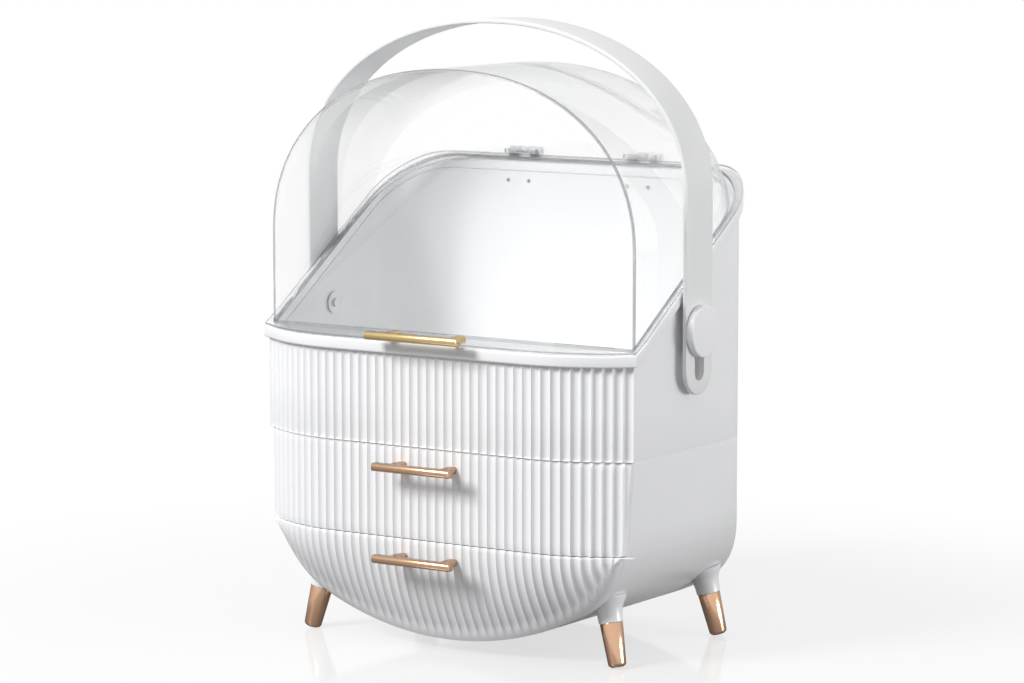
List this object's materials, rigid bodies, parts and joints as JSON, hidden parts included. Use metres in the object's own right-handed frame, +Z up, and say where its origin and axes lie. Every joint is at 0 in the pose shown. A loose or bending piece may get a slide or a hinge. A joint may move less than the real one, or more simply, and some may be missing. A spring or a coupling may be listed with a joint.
{
  "type": "vanity organizer box",
  "caption": "Bow-fronted vanity organizer with fluted drawers, an open tray under a clear hinged cover, a carrying handle and splayed feet.",
  "frame": {"origin": "centre of the bounding box's underside, on the surface the feet stand on", "axes": "+Z up, the fluted front faces -Y, +X to the right seen from behind the front"},
  "size_m": [0.2986, 0.2054, 0.3955],
  "materials": {
    "body_plastic": "gloss",
    "gold_metal": "polished",
    "clear_plastic": "clear",
    "steel_fittings": "satin"
  },
  "bodies": {
    "housing": {"lower_housing": "body_plastic", "shelf": "body_plastic", "upper_rail_left": "body_plastic", "upper_rail_right": "body_plastic", "lower_rail_left": "body_plastic", "lower_rail_right": "body_plastic", "top_tier": "body_plastic", "rim_trim": "body_plastic", "tier_screws": "steel_fittings", "hinge_body_left": "body_plastic", "hinge_body_right": "body_plastic", "hinge_pins": "steel_fittings", "hinge_screws": "steel_fittings", "leg_screws": "steel_fittings", "leg_socket_front_left": "body_plastic", "leg_socket_front_right": "body_plastic", "leg_socket_back_left": "body_plastic", "leg_socket_back_right": "body_plastic", "leg_tip_front_left": "gold_metal", "leg_tip_front_right": "gold_metal", "leg_tip_back_left": "gold_metal", "leg_tip_back_right": "gold_metal", "foot_pad_front_left": "clear_plastic", "foot_pad_front_right": "clear_plastic", "foot_pad_back_left": "clear_plastic", "foot_pad_back_right": "clear_plastic"},
    "drawer_upper": {"drawer_upper_front": "body_plastic", "drawer_upper_box": "body_plastic", "drawer_upper_pull": "gold_metal", "drawer_upper_screws": "steel_fittings"},
    "drawer_lower": {"drawer_lower_front": "body_plastic", "drawer_lower_tuck": "body_plastic", "drawer_lower_box": "body_plastic", "drawer_lower_pull": "gold_metal", "drawer_lower_screws": "steel_fittings"},
    "cover": {"cover_front_shell": "clear_plastic", "cover_back_shell": "clear_plastic", "cover_flange": "clear_plastic", "cover_pull": "gold_metal", "hinge_cover_left": "clear_plastic", "hinge_cover_right": "clear_plastic"},
    "handle_pivots": {"pivot_block_left": "body_plastic", "pivot_block_right": "body_plastic", "button_left": "body_plastic", "button_right": "body_plastic", "pivot_retainers": "steel_fittings"},
    "handle": {"handle_crown_left": "body_plastic", "handle_crown_right": "body_plastic", "handle_haunch_left": "body_plastic", "handle_haunch_right": "body_plastic", "handle_leg_left": "body_plastic", "handle_leg_right": "body_plastic"}
  },
  "joints": [
    {"name": "drawer_upper_slide", "type": "slide", "parent": "housing", "child": "drawer_upper", "axis": [0, -1, 0], "range_m": [0, 0.11]},
    {"name": "drawer_lower_slide", "type": "slide", "parent": "housing", "child": "drawer_lower", "axis": [0, -1, 0], "range_m": [0, 0.11]},
    {"name": "cover_hinge", "type": "hinge", "parent": "housing", "child": "cover", "pos_m": [0, 0.09968, 0.3034], "axis": [-1, 0, 0], "range_deg": [0, 85]},
    {"name": "handle_swing", "type": "hinge", "parent": "housing", "child": "handle_pivots", "pos_m": [0, 0.00368, 0.2065], "axis": [-1, 0, 0], "range_deg": [0, 127.5]},
    {"name": "handle_lift", "type": "slide", "parent": "handle_pivots", "child": "handle", "axis": [0, 0, 1], "range_m": [0, 0.025]}
  ],
  "couplings": [
    {"joint": "handle_swing", "follows": "cover_hinge", "ratio": 1.5}
  ]
}
